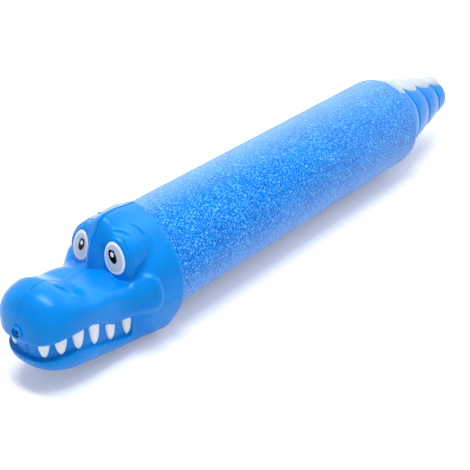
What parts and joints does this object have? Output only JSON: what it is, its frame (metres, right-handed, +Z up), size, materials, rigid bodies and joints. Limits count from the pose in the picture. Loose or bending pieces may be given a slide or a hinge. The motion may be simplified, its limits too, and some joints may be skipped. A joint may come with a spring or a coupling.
{
  "type": "foam water squirter",
  "caption": "Hand-pumped water squirter: foam-sleeved barrel with a moulded crocodile head as nozzle housing and a ringed tail as the handle of its sliding plunger.",
  "frame": {"origin": "on the ground, under the middle of the overall length, on the plane of left and right symmetry", "axes": "+X along the barrel towards the nozzle, +Y to the crocodile's left, +Z up"},
  "size_m": [0.3828, 0.0648, 0.0647],
  "materials": {
    "blue_plastic": "moulded, glossy",
    "blue_foam": "closed-cell foam, matt and speckled",
    "white_plastic": "moulded, glossy",
    "eye_plastic": "moulded, printed",
    "pipe_plastic": "extruded, satin",
    "seal_rubber": "moulded, matt",
    "screw_steel": "zinc plated"
  },
  "bodies": {
    "squirter": {"head_shell_left": "blue_plastic", "head_shell_right": "blue_plastic", "eye_left": "eye_plastic", "eye_right": "eye_plastic", "teeth_left": "white_plastic", "teeth_right": "white_plastic", "head_screw_brow": "screw_steel", "head_screw_nose": "screw_steel", "head_screw_jaw": "screw_steel", "foam_sleeve": "blue_foam", "barrel_tube": "pipe_plastic", "spout_cap": "blue_plastic", "cap_seal": "seal_rubber", "rear_guide": "blue_plastic"},
    "plunger": {"plunger_rod": "pipe_plastic", "piston": "pipe_plastic", "piston_seal": "seal_rubber"},
    "tail": {"tail_shell_left": "blue_plastic", "tail_shell_right": "blue_plastic", "scute_strip": "white_plastic", "tail_screw_front": "screw_steel", "tail_screw_rear": "screw_steel"}
  },
  "joints": [
    {"name": "plunger_pull", "type": "slide", "parent": "squirter", "child": "plunger", "axis": [-1, 0, 0], "range_m": [0, 0.203]},
    {"name": "tail_turn", "type": "hinge", "parent": "plunger", "child": "tail", "pos_m": [-0.124, 0, 0.0319], "axis": [-1, 0, 0], "continuous": true}
  ]
}
